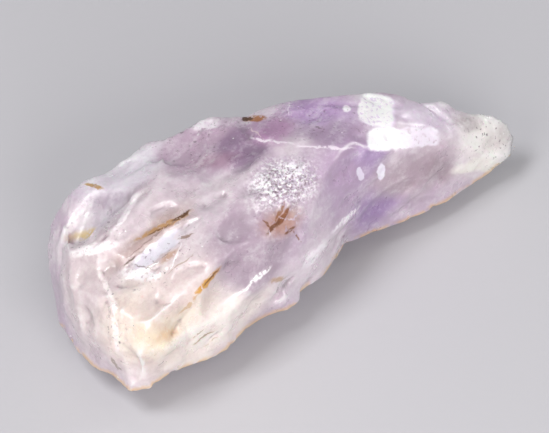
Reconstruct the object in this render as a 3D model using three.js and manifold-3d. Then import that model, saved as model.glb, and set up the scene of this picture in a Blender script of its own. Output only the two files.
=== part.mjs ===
// A rough amethyst crystal, broken off at its root and lying on one of its long flat sides.
// Millimetres. +X runs from the broken root to the worn tip, +Z is up, and the origin is the
// middle of the stone's footprint, on the surface that it lies on.
//
// The skin is two sheets of flat facets that meet on a rim: the near side, which the photograph
// shows, and the far side, which holds the back and the resting face. Their corners are the
// landmarks below. Shallow bowls, flat ledges and small chips are then broken out of that skin.

import * as THREE from "three";
import { mergeVertices } from "three/addons/utils/BufferGeometryUtils.js";
import Module from "manifold-3d";

const wasm = await Module();
wasm.setup();

// Driving dimensions of the finished stone
const LENGTH = 54;
const WIDTH = 24.2;
const HEIGHT = 17.6;

// The photograph's view: turned from -Y towards -X, looking down, with its middle over the stone
const VIEW_TURN = THREE.MathUtils.degToRad(27);
const VIEW_DOWN = THREE.MathUtils.degToRad(46);
const VIEW_MIDDLE = [274.5, 216.5];
const VIEW_MIDDLE_HEIGHT = 7;
const MM_PER_PIXEL = 0.104;

// Landmarks, each [across, down, height]: a place in the photograph in pixels, and millimetres
// above the surface that the stone lies on. The rim runs round the stone's outline.
const rim = {
  rootEnd: [
    [50, 228, 9.5], [47, 245, 8], [49, 268, 6.5], [54, 292, 5], [58, 320, 3.8], [68, 334, 3.8],
    [76, 349, 3.5], [95, 366, 3.8], [113, 373, 4.2], [131, 388, 4.2], [152, 386, 4.5],
  ],
  bodyFront: [
    [166, 374, 4.8], [184, 364, 5], [207, 357, 5], [226, 347, 5], [238, 335, 4.8], [251, 323, 4.6],
    [266, 315, 4.5], [286, 310, 4.5], [298, 303, 4.2], [304, 289, 4.2], [321, 277, 4],
    [334, 260, 3.8], [345, 244, 3.5],
  ],
  neckFront: [
    [370, 234, 3.2], [400, 224, 3], [428, 213, 2.8], [450, 200, 2.7], [463, 191, 2.6],
    [481, 180, 2.6], [497, 169, 3], [510, 157, 3.6],
  ],
  tip: [[516, 146, 3.9], [514, 136, 4.9], [505, 125, 6.3]],
  neckBack: [
    [492, 115, 8], [478, 111, 9.2], [468, 113, 9.6], [455, 106, 10.8], [440, 100, 11.8],
    [417, 102, 13], [408, 98, 13.6], [395, 94, 14.3], [378, 92, 15], [355, 94, 16], [330, 94, 16.3],
    [300, 99, 16], [276, 104, 15.8], [258, 110, 15.5],
  ],
  bodyBack: [
    [242, 118, 15.3], [225, 117, 16], [207, 117, 16], [192, 124, 15.8], [176, 134, 15.6],
    [163, 141, 15.4], [147, 143, 15.2], [125, 160, 15], [100, 175, 14.6], [82, 182, 14],
    [67, 196, 13], [57, 212, 11.5],
  ],
};

const nearSide = {
  crest: [
    [256, 137, 17.4], [272, 140, 17.6], [290, 143, 17.6], [316, 147, 17.5], [342, 151, 17],
    [366, 147, 15.9],
  ],
  brightFacet: [
    [370, 140, 15.6], [372, 128, 15.8], [392, 124, 15], [420, 125, 13.5], [438, 132, 12],
    [434, 146, 11.2], [400, 151, 13.3], [380, 152, 14.6],
  ],
  neckTop: [
    [288, 106, 16.4], [289, 122, 17], [320, 122, 17], [355, 110, 16.4], [360, 125, 16.4],
    [400, 110, 14.6], [420, 112, 13.4],
  ],
  tipLobe: [
    [470, 125, 9.4], [462, 145, 9.2], [456, 163, 7.4], [478, 150, 7.4], [495, 145, 6.2],
    [499, 158, 4.8], [480, 170, 4.3],
  ],
  neckFlank: [
    [362, 180, 12.2], [385, 175, 11], [375, 205, 7.5], [410, 185, 8.2], [440, 170, 7.6],
    [430, 192, 5.4], [400, 205, 5.8],
  ],
  frontShoulder: [
    [190, 330, 10], [226, 303, 11.8], [262, 281, 11], [294, 267, 9.8], [316, 251, 9.6],
    [330, 234, 9.8], [345, 219, 9.2], [360, 205, 8.8],
  ],
  rootRidge: [[72, 251, 13.4], [100, 243, 15.5], [116, 229, 16.2], [140, 205, 17], [152, 191, 17.2]],
  rootHollow: [
    [62, 222, 12], [75, 205, 13.4], [95, 193, 14.8], [95, 218, 13.3], [82, 236, 12.3],
    [110, 212, 14.4], [130, 191, 16],
  ],
  paleFacet: [[163, 150, 16.4], [160, 175, 17]],
  trough: [
    [100, 261, 14.2], [128, 260, 14.8], [150, 243, 15.6], [168, 228, 16.2], [192, 212, 16.6],
    [214, 192, 17], [236, 172, 17.2], [250, 152, 17.2],
  ],
  stepFoot: [[118, 266, 13.8], [145, 283, 14.2], [163, 270, 15.2], [182, 248, 16.2], [200, 222, 17]],
  rootEdge: [[100, 269, 13.6], [108, 300, 13.6], [116, 322, 12], [112, 345, 9.2]],
  rootLobes: [[72, 285, 11.8], [84, 325, 8.4], [142, 350, 10.6], [170, 345, 10.4]],
  broadFacet: [
    [236, 195, 17.4], [232, 212, 17], [262, 200, 17.2], [285, 215, 15.9], [262, 240, 15.2],
    [215, 260, 15.8], [180, 290, 14.9], [150, 320, 13.8],
  ],
  roughPatch: [
    [252, 170, 17.5], [275, 160, 17.5], [305, 165, 17.2], [318, 190, 15.8], [300, 235, 13.4],
    [285, 200, 16.8],
  ],
};

// The far side can't be seen. Its landmarks lie behind the places that they are given.
const farSide = {
  backBelly: [
    [84, 216, 6.5], [118, 196, 8], [168, 172, 8.5], [220, 152, 8.5], [272, 140, 8.5],
    [326, 128, 8.8], [378, 122, 8], [424, 124, 7], [466, 131, 6],
  ],
  backFoot: [[106, 240, 2.6], [160, 212, 3.4], [236, 190, 3], [310, 172, 3.2], [372, 162, 2.6]],
  restingFace: [
    [92, 306, 0], [86, 282, 0], [118, 262, 0], [182, 240, 0], [250, 226, 0], [318, 214, 0],
    [376, 204, 0], [398, 205, 0], [352, 224, 0], [296, 262, 0], [240, 304, 0], [180, 340, 0],
    [120, 346, 0],
  ],
  neckKeel: [[430, 188, 1], [468, 168, 2]],
};

const across = new THREE.Vector3(Math.cos(VIEW_TURN), -Math.sin(VIEW_TURN), 0);
const away = new THREE.Vector3(Math.sin(VIEW_TURN), Math.cos(VIEW_TURN), 0);
const towardsViewer = away
  .clone()
  .multiplyScalar(-Math.cos(VIEW_DOWN))
  .setZ(Math.sin(VIEW_DOWN));

// The point of the stone's frame that the photograph shows at a place, at a height.
function pointAt([u, v, height]) {
  const sideways = (u - VIEW_MIDDLE[0]) * MM_PER_PIXEL;
  const upwards = (VIEW_MIDDLE[1] - v) * MM_PER_PIXEL;
  const depth = (upwards - (height - VIEW_MIDDLE_HEIGHT) * Math.cos(VIEW_DOWN)) / Math.sin(VIEW_DOWN);
  return across.clone().multiplyScalar(sideways).addScaledVector(away, depth).setZ(height);
}

// Twice the area of the flat triangle a, b, c, negative if it turns to the left in the photograph.
function turn(a, b, c) {
  return (b[0] - a[0]) * (c[1] - a[1]) - (b[1] - a[1]) * (c[0] - a[0]);
}

// True if d lies inside the circle through the corners of the triangle a, b, c.
function insideCircle(a, b, c, d) {
  const [p, q, r] = [a, b, c].map((v) => {
    const [x, y] = [v[0] - d[0], v[1] - d[1]];
    return [x, y, x * x + y * y];
  });
  const volume =
    p[0] * (q[1] * r[2] - q[2] * r[1]) -
    p[1] * (q[0] * r[2] - q[2] * r[0]) +
    p[2] * (q[0] * r[1] - q[1] * r[0]);
  return volume * turn(a, b, c) > 0;
}

function insideOutline(outline, [x, y]) {
  let inside = false;
  outline.forEach(([x1, y1], i) => {
    const [x0, y0] = outline.at(i - 1);
    if (y1 > y !== y0 > y && x < x1 + ((y - y1) * (x0 - x1)) / (y0 - y1)) inside = !inside;
  });
  return inside;
}

// The Delaunay triangles of flat points, as lists of three indices that all turn the same way.
function triangulate(points) {
  const FAR = 10000;
  const all = [...points, [-FAR, -FAR], [FAR, -FAR], [0, FAR]];
  const n = points.length;
  let triangles = [[n, n + 1, n + 2]];
  points.forEach((point, i) => {
    const broken = triangles.filter((t) => insideCircle(...t.map((k) => all[k]), point));
    const edges = broken.flatMap(([a, b, c]) => [[a, b], [b, c], [c, a]]);
    const border = edges.filter(([a, b]) => !edges.some(([c, d]) => a === d && b === c));
    triangles = triangles
      .filter((t) => !broken.includes(t))
      .concat(border.map(([a, b]) => [a, b, i]));
  });
  return triangles.filter((t) => t.every((k) => k < n));
}

// The facets of one side: the triangles inside the outline.
function facetsOf(landmarks, outline) {
  return triangulate(landmarks).filter((t) => {
    const centre = [0, 1].map((k) => t.reduce((sum, i) => sum + landmarks[i][k] / 3, 0));
    return insideOutline(outline, centre) && turn(...t.map((i) => landmarks[i])) !== 0;
  });
}

function makeSkin() {
  const outline = Object.values(rim).flat();
  const near = Object.values(nearSide).flat();
  const far = Object.values(farSide).flat();
  const nearFacets = facetsOf([...outline, ...near], outline);
  const farFacets = facetsOf([...outline, ...far], outline).map((t) =>
    t.map((k) => (k < outline.length ? k : k + near.length)),
  );
  const points = [...outline, ...near, ...far].map(pointAt);
  const skin = new THREE.BufferGeometry().setFromPoints(points);
  skin.setIndex([...nearFacets.map((t) => t.reverse()), ...farFacets].flat());
  return skin;
}

// A three.js geometry with the corners that its triangles share merged.
function closed(geometry) {
  geometry.deleteAttribute("normal");
  geometry.deleteAttribute("uv");
  return mergeVertices(geometry);
}

// A closed geometry as a solid that can be cut.
function solid(geometry) {
  const vertProperties = new Float32Array(geometry.attributes.position.array);
  const triVerts = new Uint32Array(geometry.index.array);
  return new wasm.Manifold(new wasm.Mesh({ numProp: 3, vertProperties, triVerts }));
}

// Random numbers from 0 to 1 that are the same each time.
function seededRandom(seed) {
  let state = seed;
  return () => {
    state = (state * 16807) % 2147483647;
    return state / 2147483647;
  };
}

const random = seededRandom(1544);
const skin = makeSkin();
const skinMesh = new THREE.Mesh(skin);

// A three.js shape with each corner pulled in or out by up to a share of its distance.
function uneven(shape, share) {
  const block = closed(shape);
  const corners = block.attributes.position;
  const corner = new THREE.Vector3();
  for (let i = 0; i < corners.count; i += 1) {
    corner.fromBufferAttribute(corners, i).multiplyScalar(1 + (random() * 2 - 1) * share);
    corners.setXYZ(i, ...corner);
  }
  return block;
}

// The frame of a cut at a place of the photograph: its z axis points out of the facet there, and
// its x axis follows the heading, in degrees from the photograph's right towards its top.
function frameAt([u, v], heading, side = "near") {
  const outwards = towardsViewer.clone().multiplyScalar(side === "near" ? 1 : -1);
  const start = pointAt([u, v, VIEW_MIDDLE_HEIGHT]).addScaledVector(outwards, LENGTH);
  const hit = new THREE.Raycaster(start, outwards.clone().negate()).intersectObject(skinMesh)[0];
  const angle = THREE.MathUtils.degToRad(heading);
  const seenUp = new THREE.Vector3().crossVectors(towardsViewer, across);
  const x = across.clone().multiplyScalar(Math.cos(angle)).addScaledVector(seenUp, Math.sin(angle));
  const z = hit.face.normal.clone();
  x.addScaledVector(z, -x.dot(z)).normalize();
  const y = new THREE.Vector3().crossVectors(z, x);
  return new THREE.Matrix4().makeBasis(x, y, z).setPosition(hit.point);
}

// A shallow hollow, as brittle stone breaks: the low cap of an uneven ellipsoid.
function bowl(place, long, wide, deep, heading, side) {
  const FLATNESS = 2.6;
  const capWidth = 2 * Math.sqrt(1 - ((FLATNESS - 1) / FLATNESS) ** 2);
  const cap = uneven(new THREE.IcosahedronGeometry(1, 1), 0.1);
  cap.scale(long / capWidth, wide / capWidth, deep * FLATNESS);
  cap.translate(0, 0, deep * (FLATNESS - 1));
  cap.applyMatrix4(frameAt(place, heading, side));
  return solid(cap);
}

// A flat ledge along the heading, sunk to its depth along its left edge and level at its right:
// the tilted foot of a low drum.
function ledge(place, long, wide, deep, heading, side) {
  const TALL = 4;
  const CORNERS = 7;
  const drum = new THREE.CylinderGeometry(0.5, 0.5, TALL, CORNERS).rotateX(Math.PI / 2);
  const block = uneven(drum.scale(long, wide, 1), 0.12);
  block.translate(0, 0, TALL / 2 - deep / 2);
  block.applyMatrix4(new THREE.Matrix4().makeRotationX(-Math.atan2(deep, wide)));
  block.applyMatrix4(frameAt(place, heading, side));
  return solid(block);
}

// The large breaks, each [place, long, wide, deep, heading]
const bowls = [
  [[98, 208], 8, 3.4, 0.45, 55],
  [[84, 228], 6, 3, 0.45, 35],
  [[114, 202], 5, 2.4, 0.35, 30],
  [[206, 146], 12, 5, 0.3, 12],
  [[180, 166], 7, 3.4, 0.25, 30],
  [[246, 152], 5, 3.4, 0.3, 50],
  [[308, 118], 7, 2.6, 0.3, 5],
  [[330, 172], 7, 4, 0.4, 30],
  [[386, 200], 7.5, 3.2, 0.4, 25],
  [[445, 172], 5.5, 2.6, 0.35, 25],
  [[488, 150], 3.6, 2.4, 0.25, 30],
  [[238, 268], 11, 5, 0.35, 52],
  [[222, 288], 8, 3.4, 0.35, 46],
  [[150, 300], 6, 3.4, 0.4, 60],
  [[106, 300], 4, 1.8, 0.5, -80],
  [[90, 318], 3.6, 2.6, 0.5, 60],
  [[172, 356], 5, 3, 0.5, 35],
  [[306, 284], 3.2, 2, 0.5, 50],
  [[250, 306], 4.2, 1.8, 0.4, 30],
  [[338, 236], 3.4, 2, 0.4, 40],
  [[381, 171], 1.9, 1.2, 0.22, 60],
];

// The large ledges, each [place, long, wide, deep, heading]
const ledges = [
  [[146, 258], 8, 2.4, 0.7, 45],
  [[178, 232], 6, 1.8, 0.6, 40],
  [[140, 276], 5.5, 1.8, 0.5, 22],
  [[150, 232], 9.5, 1.2, 0.55, 38],
  [[214, 205], 4, 2.6, 0.3, 60],
  [[120, 172], 7, 3, 0.3, 35],
  [[404, 138], 7.5, 2.7, 0.3, 5],
  [[381, 103], 4.6, 1.7, 0.25, 0],
  [[330, 106], 8, 1, 0.3, 4],
  [[440, 116], 5, 1.2, 0.2, -14],
  [[486, 162], 4.5, 0.9, 0.2, 30],
  [[420, 196], 7, 0.9, 0.3, 24],
  [[396, 214], 6, 0.8, 0.25, 18],
  [[206, 342], 4.5, 0.8, 0.3, 48],
  [[190, 312], 7, 0.9, 0.3, 52],
  [[222, 318], 6, 0.9, 0.3, 50],
  [[130, 330], 6, 1.4, 0.35, 65],
  [[70, 300], 5.5, 1.4, 0.4, 80],
  [[62, 262], 4.5, 1.4, 0.4, 80],
  [[284, 288], 3.4, 0.9, 0.3, 40],
];

// Breaks scattered over a region: the middle of the region and its half width and half height in
// pixels, how many there are, the longest in millimetres, their heading and their side
const scatters = [
  { middle: [150, 240], reach: [100, 120], count: 16, longest: 7, heading: 48, side: "near" },
  { middle: [260, 240], reach: [100, 80], count: 9, longest: 6, heading: 52, side: "near" },
  { middle: [390, 150], reach: [70, 60], count: 10, longest: 5, heading: 16, side: "near" },
  { middle: [480, 142], reach: [24, 24], count: 4, longest: 2, heading: 20, side: "near" },
  { middle: [285, 188], reach: [34, 30], count: 16, longest: 2.4, heading: 30, side: "near" },
  { middle: [84, 300], reach: [34, 66], count: 9, longest: 3, heading: 80, side: "near" },
  { middle: [240, 216], reach: [180, 150], count: 20, longest: 8, heading: 25, side: "far" },
  { middle: [270, 216], reach: [200, 150], count: 10, longest: 3.4, heading: 40, side: "far" },
];

// The share of the scattered breaks that are ledges, how far their heading turns from their
// region's at most, in degrees, their depth for their length, and how low they may start, so that
// the resting face stays whole
const SCATTER_LEDGES = 0.35;
const SCATTER_TURN = 22;
const SCATTER_DEPTH = 0.07;
const SCATTER_FLOOR = 1.6;

function scatterBreaks({ middle, reach, count, longest, heading, side }) {
  const outline = Object.values(rim).flat();
  const cuts = [];
  while (cuts.length < count) {
    const place = middle.map((m, k) => m + (random() * 2 - 1) * reach[k]);
    const long = longest * (0.4 + 0.6 * random());
    const wide = long * (0.35 + 0.3 * random());
    const turned = heading + (random() * 2 - 1) * SCATTER_TURN;
    const make = random() < SCATTER_LEDGES ? ledge : bowl;
    if (!insideOutline(outline, place)) continue;
    const start = new THREE.Vector3().setFromMatrixPosition(frameAt(place, turned, side));
    if (start.z > SCATTER_FLOOR) {
      cuts.push(make(place, long, wide, long * SCATTER_DEPTH, turned, side));
    }
  }
  return cuts;
}

// Small chips knocked out of a line of landmarks, one between each landmark and the next. Each is
// a long, thin, uneven lump that lies any way round, mostly outside the stone.
function chipsAlong(line, longest) {
  const STAND_OFF = 0.12;
  return line.slice(1).map((end, i) => {
    const centre = pointAt(line[i]).lerp(pointAt(end), random());
    const outwards = centre.clone().setZ(centre.z - VIEW_MIDDLE_HEIGHT).normalize();
    const radius = (longest / 4) * (1 + random());
    const chip = uneven(new THREE.IcosahedronGeometry(radius, 0), 0.2);
    chip.scale(1, 0.6, 0.45);
    chip.rotateX(random() * Math.PI);
    chip.rotateZ(random() * Math.PI);
    chip.translate(...centre.addScaledVector(outwards, longest * STAND_OFF));
    return solid(chip);
  });
}

// The stone with every break cut out of it. Each chipped line has its longest chip beside it.
function breakStone(whole) {
  const chippedLines = [
    [Object.values(rim).flat(), 1.7],
    [nearSide.crest, 0.8],
    [nearSide.frontShoulder, 1.8],
    [nearSide.rootRidge, 1.5],
    [nearSide.rootEdge, 1.5],
    [farSide.backBelly, 2.4],
  ];
  const cuts = [
    ...bowls.map((settings) => bowl(...settings)),
    ...ledges.map((settings) => ledge(...settings)),
    ...scatters.flatMap(scatterBreaks),
    ...chippedLines.flatMap((settings) => chipsAlong(...settings)),
  ];
  return cuts.reduce((stone, cut) => stone.subtract(cut), whole);
}

// The finished solid as a geometry of the driving dimensions, standing on the origin.
function finish(stone) {
  const { vertProperties, triVerts } = stone.getMesh();
  const geometry = new THREE.BufferGeometry();
  geometry.setAttribute("position", new THREE.BufferAttribute(vertProperties, 3));
  geometry.setIndex(new THREE.BufferAttribute(triVerts, 1));
  geometry.computeBoundingBox();
  const { min, max } = geometry.boundingBox;
  geometry.translate(-(min.x + max.x) / 2, -(min.y + max.y) / 2, -min.z);
  geometry.scale(LENGTH / (max.x - min.x), WIDTH / (max.y - min.y), HEIGHT / (max.z - min.z));
  return geometry;
}

const stone = new THREE.Mesh(
  finish(breakStone(solid(skin))),
  new THREE.MeshStandardMaterial({ color: 0xc9b4cc, roughness: 0.25, metalness: 0 }),
);
stone.name = "amethyst_crystal";

const root = new THREE.Group();
root.add(stone);
export default root;
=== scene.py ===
"""A rough amethyst crystal: one broken, milky stone that narrows to a worn tip.

The stone's outline and facets come from the frame. This file grows its fine relief over them, dresses it
as cloudy amethyst with iron stains, and sets it on a pale floor in soft light. A name that ends in _mm
holds millimetres, and every other length is in metres. Places on the stone are named by where the picture
shows them, in pixels across and down, and a ray from the camera turns each one into a point on the stone.
"""

import logging
import math
from dataclasses import dataclass
from enum import Enum

import bpy
import numpy as np
from mathutils import Matrix, Vector, noise
from mathutils.bvhtree import BVHTree


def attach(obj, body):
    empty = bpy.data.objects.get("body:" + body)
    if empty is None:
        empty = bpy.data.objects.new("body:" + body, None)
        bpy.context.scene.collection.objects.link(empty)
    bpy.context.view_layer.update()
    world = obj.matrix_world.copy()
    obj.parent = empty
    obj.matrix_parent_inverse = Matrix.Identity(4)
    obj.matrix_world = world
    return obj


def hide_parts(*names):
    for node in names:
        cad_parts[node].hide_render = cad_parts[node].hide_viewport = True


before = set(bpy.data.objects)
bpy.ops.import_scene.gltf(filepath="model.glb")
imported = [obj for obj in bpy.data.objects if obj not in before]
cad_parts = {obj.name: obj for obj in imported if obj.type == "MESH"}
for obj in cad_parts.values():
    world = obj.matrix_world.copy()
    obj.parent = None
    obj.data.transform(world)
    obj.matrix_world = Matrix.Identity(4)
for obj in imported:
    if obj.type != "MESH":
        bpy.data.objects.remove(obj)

Tree = bpy.types.NodeTree
Socket = bpy.types.NodeSocket

MM = 0.001
STONE_NODE = "amethyst_crystal"

# The Mix node's sockets by number, because its colours and its numbers go by the same names.
MIX_FIRST, MIX_SECOND, MIX_RESULT = 6, 7, 2
MIX_FIRST_NUMBER, MIX_SECOND_NUMBER = 2, 3

log = logging.getLogger("amethyst")
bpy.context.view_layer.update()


def linear(colour: str) -> tuple[float, float, float, float]:
    """Turns an sRGB hex colour into the linear one that shaders take.

    Args:
        colour: Six hex digits with or without a leading hash.

    Returns:
        Red, green, blue and a full alpha.
    """
    digits = colour.lstrip("#")
    channels = (int(digits[i : i + 2], 16) / 255 for i in (0, 2, 4))
    red, green, blue = (c / 12.92 if c <= 0.04045 else ((c + 0.055) / 1.055) ** 2.4 for c in channels)
    return red, green, blue, 1.0


def eased(share: np.ndarray) -> np.ndarray:
    """A share from 0 to 1, made to start and end gently."""
    return share * share * (3 - 2 * share)


def direction(turn_degrees: float, lift_degrees: float) -> Vector:
    """The way from the stone to something that stands around it.

    Args:
        turn_degrees: Anticlockwise from the front, seen from above.
        lift_degrees: Up from the floor.

    Returns:
        A vector of length one.
    """
    turn, lift = math.radians(turn_degrees), math.radians(lift_degrees)
    return Vector((math.sin(turn) * math.cos(lift), -math.cos(turn) * math.cos(lift), math.sin(lift)))


def add_node(
    tree: Tree,
    kind: str,
    settings: dict[str, object] | None = None,
    inputs: dict[str | int, object] | None = None,
) -> bpy.types.Node:
    """Adds one node with its settings, values and links.

    Args:
        tree: The node tree that gets the node.
        kind: Blender's name for the type of node.
        settings: Properties of the node with their values.
        inputs: Sockets by name or number, each with a plain value or the output that feeds it.

    Returns:
        The new node.
    """
    made = tree.nodes.new(kind)
    for name, value in (settings or {}).items():
        setattr(made, name, value)
    for key, value in (inputs or {}).items():
        socket = made.inputs[key]
        if isinstance(value, Socket):
            tree.links.new(value, socket)
        else:
            socket.default_value = value
    return made


# The view, which also says where on the stone a place in the picture is.


@dataclass(frozen=True)
class Viewpoint:
    """Where the picture was taken from, and through which lens."""

    turn_degrees: float = -27.0
    lift_degrees: float = 46.0
    distance_mm: float = 600.0
    aim_mm: tuple[float, float, float] = (-1.675, 2.5, 7.0)
    lens_mm: float = 379.0
    sensor_mm: float = 36.0
    picture_width: int = 549
    picture_height: int = 433

    @property
    def axes(self) -> tuple[Vector, Vector, Vector]:
        """The directions to the picture's right, to its top and to the camera."""
        back = direction(self.turn_degrees, self.lift_degrees)
        turn = math.radians(self.turn_degrees)
        right = Vector((math.cos(turn), math.sin(turn), 0.0))
        return right, back.cross(right), back

    @property
    def eye_mm(self) -> Vector:
        """Where the camera is."""
        return Vector(self.aim_mm) + self.axes[2] * self.distance_mm

    def towards(self, across: float, down: float) -> Vector:
        """The direction from the camera to a place in the picture.

        Args:
            across: Pixels from the picture's left side.
            down: Pixels from the picture's top.

        Returns:
            A vector of length one.
        """
        right, top, back = self.axes
        pixels = self.lens_mm / self.sensor_mm * self.picture_width
        aside = (across - self.picture_width / 2) / pixels
        above = (self.picture_height / 2 - down) / pixels
        return (right * aside + top * above - back).normalized()

    def add_camera(self) -> bpy.types.Object:
        """Adds the camera and makes it the scene's own.

        Returns:
            The camera.
        """
        data = bpy.data.cameras.new("picture_camera")
        data.sensor_width = self.sensor_mm
        data.lens = self.lens_mm
        data.clip_start = 0.01
        data.clip_end = 20.0
        camera = bpy.data.objects.new("picture_camera", data)
        right, top, back = self.axes
        turned = Matrix((right, top, back)).transposed().to_4x4()
        camera.matrix_world = Matrix.Translation(self.eye_mm * MM) @ turned
        bpy.context.scene.collection.objects.link(camera)
        bpy.context.scene.camera = camera
        return camera


# Areas of the stone.


class Border(Enum):
    """How an area's colour ends at its rim, as the share of its reach over which it fades."""

    CRISP = 0.12
    WORN = 0.3
    CLOUDY = 0.65


@dataclass(frozen=True)
class Area:
    """An oval or squared area of the stone, laid out in the picture's own plane.

    Attributes:
        across: Pixels from the picture's left side to the area's middle.
        down: Pixels from the picture's top to the area's middle.
        long_mm: Half the area's length.
        wide_mm: Half the area's width.
        turn_degrees: How far its length is turned anticlockwise from the picture's right.
        colour: Its sRGB colour, empty where it only marks a place.
        strength: How much of it shows, from 0 to 1.
        border: How its rim fades.
        deep_mm: How far into the stone it reaches.
        squared: Whether it has straight sides.
    """

    across: float
    down: float
    long_mm: float
    wide_mm: float
    turn_degrees: float
    colour: str = ""
    strength: float = 1.0
    border: Border = Border.CLOUDY
    deep_mm: float = 5.0
    squared: bool = False


@dataclass(frozen=True)
class WhiteBreak(Area):
    """A broken place painted white: frost, or a highlight painted where a fresh flat or a chipped edge throws
    back light.

    Attributes:
        flecked: Whether its white is broken into small flecks, as frost and scattered glints are, and not
            laid on as one patch.
    """

    border: Border = Border.WORN
    deep_mm: float = 3.0
    flecked: bool = True


@dataclass(frozen=True)
class DullMark(Area):
    """A dull dark mark: mostly iron oxide in a crack, in two places a painted dark reflection on the white
    ledge.
    """

    border: Border = Border.WORN
    deep_mm: float = 2.0


# Shades of the quartz, each laid over the ones before it.
ZONES = (
    # The root's milkier quartz under its other shades, and its pale lower edge.
    Area(150, 255, 10.5, 8.0, 45, "#DCD0D4", 0.85, deep_mm=9.0),
    Area(225, 330, 9.0, 1.9, 34, "#F6E9E2", 0.9),
    # The broken root end at the left: nearly white, and pinkish lower down.
    Area(88, 300, 4.6, 7.5, 10, "#DDCFD1", 0.9),
    Area(122, 173, 5.2, 2.6, 28, "#EBE4EE", 0.95, Border.WORN),
    # The lower front of the root, warm as cream with a yellower cloud in it.
    Area(165, 322, 6.6, 4.6, 24, "#F6E8D8", 0.95),
    Area(160, 326, 2.6, 1.7, 30, "#ECDCBC", 0.75),
    Area(225, 318, 5.5, 1.8, 30, "#FAF0EC", 0.85),
    # The broad smooth facet in the middle.
    Area(254, 248, 4.6, 5.4, 50, "#B5A2B2", 0.95, Border.WORN),
    Area(212, 205, 2.2, 1.6, 35, "#DACDD6", 0.8, Border.WORN),
    Area(175, 290, 5.2, 2.3, 42, "#D9C9CC", 0.7),
    # The purple top in front of the crest, darkest near the neck.
    Area(208, 152, 5.0, 3.2, 12, "#C2AABE", 0.95, Border.WORN),
    Area(243, 148, 2.6, 2.5, 30, "#9A7F9C", 0.95, Border.WORN),
    Area(214, 162, 2.2, 0.8, 12, "#B18CA4", 0.7),
    # The purple back of the neck, pink where it meets the crest.
    Area(325, 112, 4.6, 1.8, 2, "#C9AFD3", 0.95),
    Area(318, 108, 2.6, 1.2, 4, "#B899C6", 0.8),
    Area(272, 128, 2.2, 1.5, 12, "#B88FB4", 0.95),
    Area(330, 135, 3.4, 1.2, -6, "#A88FAC", 0.8),
    # The front of the neck, lilac to deep purple.
    Area(352, 178, 4.6, 4.0, 60, "#BCA2C2", 0.9),
    Area(372, 212, 2.9, 1.9, 30, "#A184B4", 0.95),
    Area(372, 158, 1.8, 1.1, 0, "#A88FBC", 0.7),
    Area(416, 172, 4.6, 2.4, 14, "#BAA5B2", 0.95),
    Area(442, 168, 1.6, 1.1, 10, "#9C8590", 0.5),
    Area(426, 115, 4.6, 1.6, -14, "#EFE2F3", 0.9),
    # The worn tip, white with a breath of yellow, greyer where it's clearer.
    Area(487, 141, 3.6, 3.3, -20, "#F8F4F1", 1.0),
    Area(470, 124, 1.3, 0.7, -10, "#B3A9AB", 0.75),
    Area(498, 137, 0.9, 1.4, -40, "#CFC9C8", 0.7),
    Area(478, 165, 3.0, 0.6, 8, "#F4F0EA", 0.9, Border.WORN),
    # The front shoulder below the broad facet.
    Area(312, 264, 5.2, 1.9, 38, "#E6D9E3", 0.9),
    # The hollow in the root, cool and grey with painted shade, and the trough beside it.
    Area(98, 212, 3.2, 2.4, 35, "#D3C9D4", 0.9, Border.WORN),
    Area(112, 196, 2.6, 0.7, 12, "#B0A3B2", 0.7),
    Area(76, 214, 1.2, 1.6, 60, "#E6DDE3", 0.8),
    Area(150, 236, 4.8, 1.1, 38, "#B8A09B", 0.85),
)
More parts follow.
